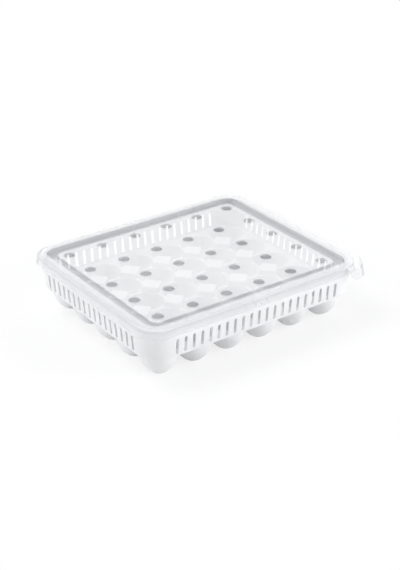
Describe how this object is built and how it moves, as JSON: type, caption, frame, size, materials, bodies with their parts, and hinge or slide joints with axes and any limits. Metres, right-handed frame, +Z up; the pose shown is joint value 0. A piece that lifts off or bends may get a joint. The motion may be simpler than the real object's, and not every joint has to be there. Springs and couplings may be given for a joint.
{
  "type": "egg storage box",
  "caption": "Low rectangular box that holds eggs in round-bottomed cups inside slotted walls, under a translucent lift-off lid with a grip lip.",
  "frame": {"origin": "on the surface the box stands on, under the middle of its outline with the grip lip", "axes": "+Z up, +X along the long side towards the lid's grip lip, +Y towards the back"},
  "size_m": [0.328, 0.2786, 0.0735],
  "materials": {
    "tray_plastic": "satin",
    "lid_plastic": "gloss"
  },
  "bodies": {
    "tray": {"egg_cup_row1_column1": "tray_plastic", "egg_cup_row1_column2": "tray_plastic", "egg_cup_row1_column3": "tray_plastic", "egg_cup_row1_column4": "tray_plastic", "egg_cup_row1_column5": "tray_plastic", "egg_cup_row1_column6": "tray_plastic", "egg_cup_row2_column1": "tray_plastic", "egg_cup_row2_column2": "tray_plastic", "egg_cup_row2_column3": "tray_plastic", "egg_cup_row2_column4": "tray_plastic", "egg_cup_row2_column5": "tray_plastic", "egg_cup_row2_column6": "tray_plastic", "egg_cup_row3_column1": "tray_plastic", "egg_cup_row3_column2": "tray_plastic", "egg_cup_row3_column3": "tray_plastic", "egg_cup_row3_column4": "tray_plastic", "egg_cup_row3_column5": "tray_plastic", "egg_cup_row3_column6": "tray_plastic", "egg_cup_row4_column1": "tray_plastic", "egg_cup_row4_column2": "tray_plastic", "egg_cup_row4_column3": "tray_plastic", "egg_cup_row4_column4": "tray_plastic", "egg_cup_row4_column5": "tray_plastic", "egg_cup_row4_column6": "tray_plastic", "egg_cup_row5_column1": "tray_plastic", "egg_cup_row5_column2": "tray_plastic", "egg_cup_row5_column3": "tray_plastic", "egg_cup_row5_column4": "tray_plastic", "egg_cup_row5_column5": "tray_plastic", "egg_cup_row5_column6": "tray_plastic", "tray_deck_strip_1": "tray_plastic", "tray_deck_strip_2": "tray_plastic", "tray_deck_strip_3": "tray_plastic", "tray_deck_strip_4": "tray_plastic", "tray_deck_strip_5": "tray_plastic", "tray_deck_strip_6": "tray_plastic", "tray_wall_front": "tray_plastic", "tray_wall_back": "tray_plastic", "tray_wall_left": "tray_plastic", "tray_wall_right": "tray_plastic", "tray_wall_front_left_corner": "tray_plastic", "tray_wall_front_right_corner": "tray_plastic", "tray_wall_back_left_corner": "tray_plastic", "tray_wall_back_right_corner": "tray_plastic", "snap_lug_front": "tray_plastic", "snap_lug_back": "tray_plastic"},
    "lid": {"lid_panel": "lid_plastic", "lid_edge_front": "lid_plastic", "lid_edge_back": "lid_plastic", "lid_edge_left": "lid_plastic", "lid_edge_right": "lid_plastic", "lid_edge_front_left_corner": "lid_plastic", "lid_edge_front_right_corner": "lid_plastic", "lid_edge_back_left_corner": "lid_plastic", "lid_edge_back_right_corner": "lid_plastic", "lid_grip_lip": "lid_plastic", "lid_grip_lip_front_corner": "lid_plastic", "lid_grip_lip_back_corner": "lid_plastic"}
  },
  "joints": [
    {"name": "lid_lift", "type": "slide", "parent": "tray", "child": "lid", "axis": [0, 0, 1], "range_m": [0, 0.12]}
  ]
}
